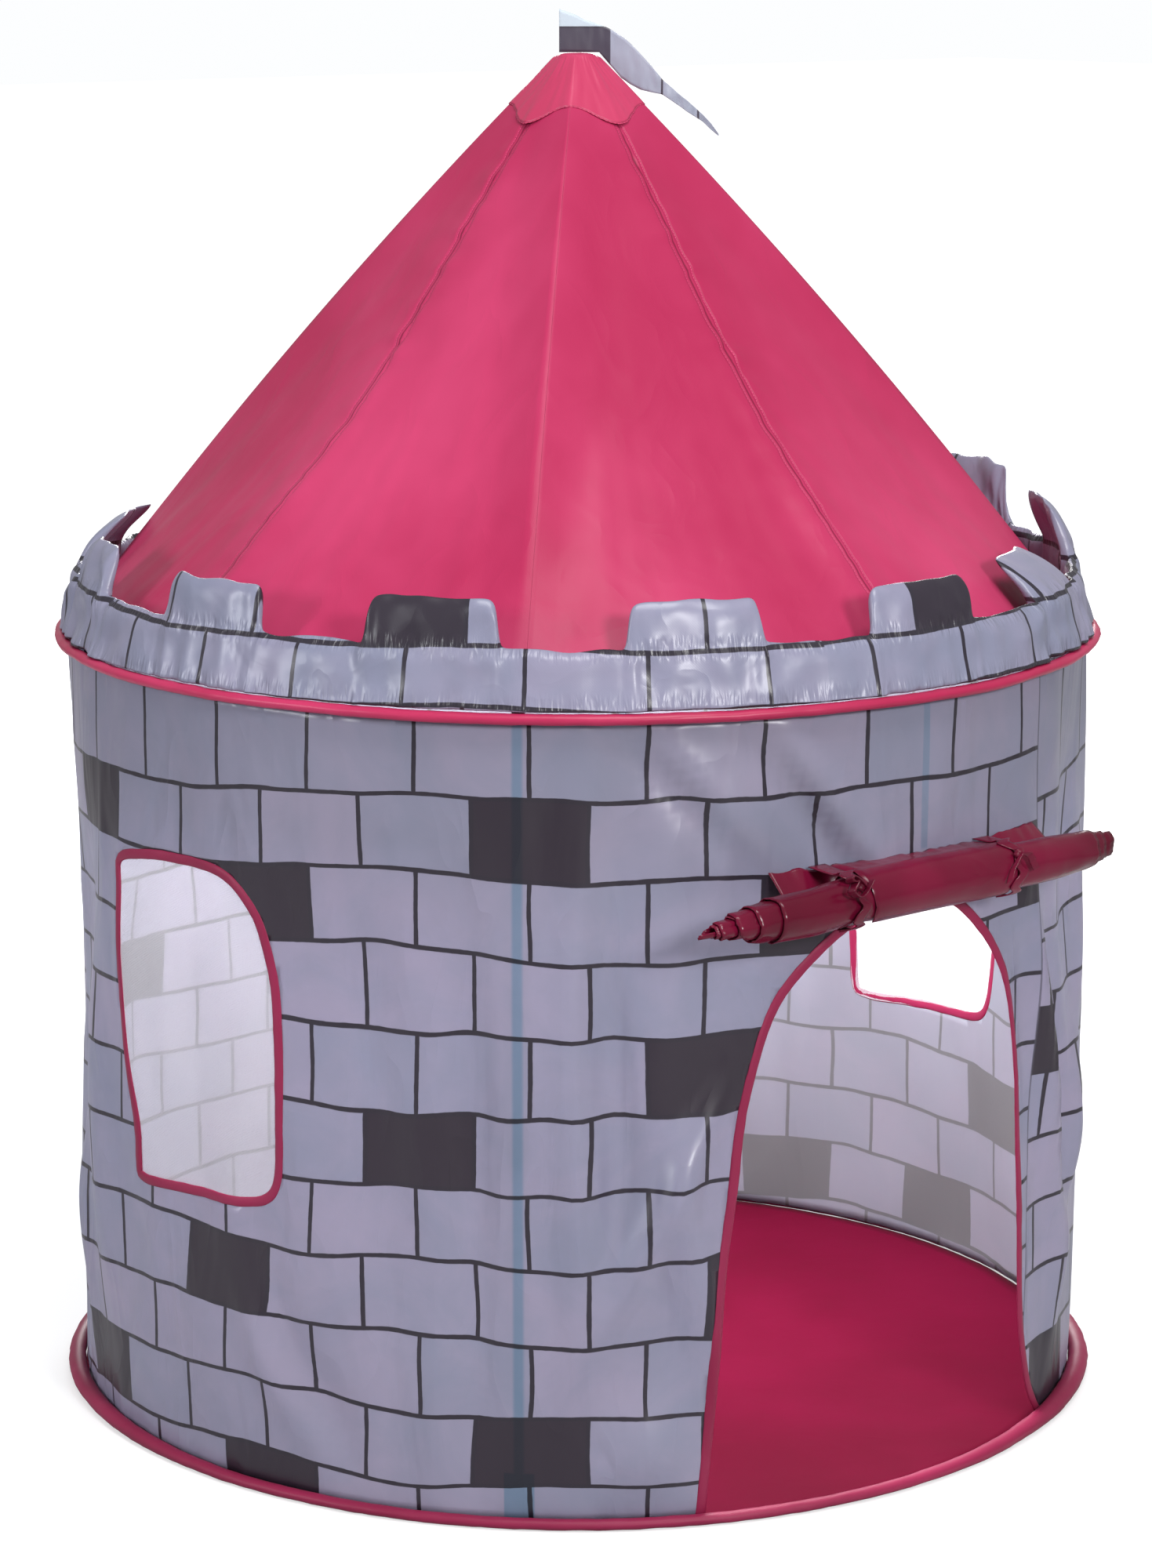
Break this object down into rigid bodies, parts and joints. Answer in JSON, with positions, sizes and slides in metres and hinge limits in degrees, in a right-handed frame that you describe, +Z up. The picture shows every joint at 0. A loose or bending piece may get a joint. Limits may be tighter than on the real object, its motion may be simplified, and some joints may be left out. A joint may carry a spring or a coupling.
{
  "type": "play tent",
  "caption": "Round castle play tent: sprung hoops and poles hold a stone-print wall, a peaked roof and a toothed band; the door flap is rolled up over the doorway.",
  "frame": {"origin": "centre of the floor's underside, on the ground", "axes": "+Z up along the tent's upright axis, the doorway faces -Y, +X to the right of someone who looks at the door from outside"},
  "size_m": [1.0506, 1.0867, 1.3783],
  "materials": {
    "stone_print_cloth": "thin grey polyester printed with stone blocks",
    "pink_cloth": "thin shiny pink polyester",
    "maroon_cloth": "thin shiny maroon polyester",
    "white_net": "fine white net",
    "grey_cloth": "plain grey polyester",
    "rod_plastic": "smooth blue-grey rod",
    "connector_plastic": "moulded dark plastic",
    "spring_steel": "bare spring wire"
  },
  "bodies": {
    "tent": {"base_hoop_wire": "spring_steel", "base_hoop_ferrule": "spring_steel", "rim_hoop_wire": "spring_steel", "rim_hoop_ferrule": "spring_steel", "base_sleeve": "maroon_cloth", "rim_sleeve": "pink_cloth", "floor_panel": "maroon_cloth", "wall_panel": "stone_print_cloth", "door_binding": "maroon_cloth", "window_net_left": "white_net", "window_binding_left": "maroon_cloth", "window_net_right": "white_net", "window_binding_right": "maroon_cloth", "inner_tape_front": "grey_cloth", "inner_tape_left": "grey_cloth", "pole_pocket_front_left": "grey_cloth", "wall_rod_lower_front_left": "rod_plastic", "wall_ferrule_front_left": "connector_plastic", "wall_rod_upper_front_left": "rod_plastic", "elbow_front_left": "connector_plastic", "roof_rod_lower_front_left": "rod_plastic", "roof_ferrule_front_left": "connector_plastic", "roof_rod_upper_front_left": "rod_plastic", "pole_pocket_front_right": "grey_cloth", "wall_rod_lower_front_right": "rod_plastic", "wall_ferrule_front_right": "connector_plastic", "wall_rod_upper_front_right": "rod_plastic", "elbow_front_right": "connector_plastic", "roof_rod_lower_front_right": "rod_plastic", "roof_ferrule_front_right": "connector_plastic", "roof_rod_upper_front_right": "rod_plastic", "pole_pocket_rear_left": "grey_cloth", "wall_rod_lower_rear_left": "rod_plastic", "wall_ferrule_rear_left": "connector_plastic", "wall_rod_upper_rear_left": "rod_plastic", "elbow_rear_left": "connector_plastic", "roof_rod_lower_rear_left": "rod_plastic", "roof_ferrule_rear_left": "connector_plastic", "roof_rod_upper_rear_left": "rod_plastic", "pole_pocket_rear_right": "grey_cloth", "wall_rod_lower_rear_right": "rod_plastic", "wall_ferrule_rear_right": "connector_plastic", "wall_rod_upper_rear_right": "rod_plastic", "elbow_rear_right": "connector_plastic", "roof_rod_lower_rear_right": "rod_plastic", "roof_ferrule_rear_right": "connector_plastic", "roof_rod_upper_rear_right": "rod_plastic", "apex_hub": "connector_plastic", "roof_canopy": "pink_cloth", "apex_cap": "pink_cloth", "battlement_band": "stone_print_cloth"},
    "rolled_door": {"door_roll": "maroon_cloth", "door_header": "maroon_cloth", "tie_front_left": "maroon_cloth", "tie_front_right": "maroon_cloth", "tie_back_left": "maroon_cloth", "tie_back_right": "maroon_cloth"},
    "pennant": {"flag": "stone_print_cloth"}
  },
  "joints": [
    {"name": "door_swing", "type": "hinge", "parent": "tent", "child": "rolled_door", "pos_m": [0, -0.5123, 0.62], "axis": [-1, 0, 0], "range_deg": [0, 75]},
    {"name": "flag_swing", "type": "hinge", "parent": "tent", "child": "pennant", "pos_m": [-0.0136, 0.01101, 1.3363], "axis": [0, 0, 1], "range_deg": [-25, 25]}
  ]
}
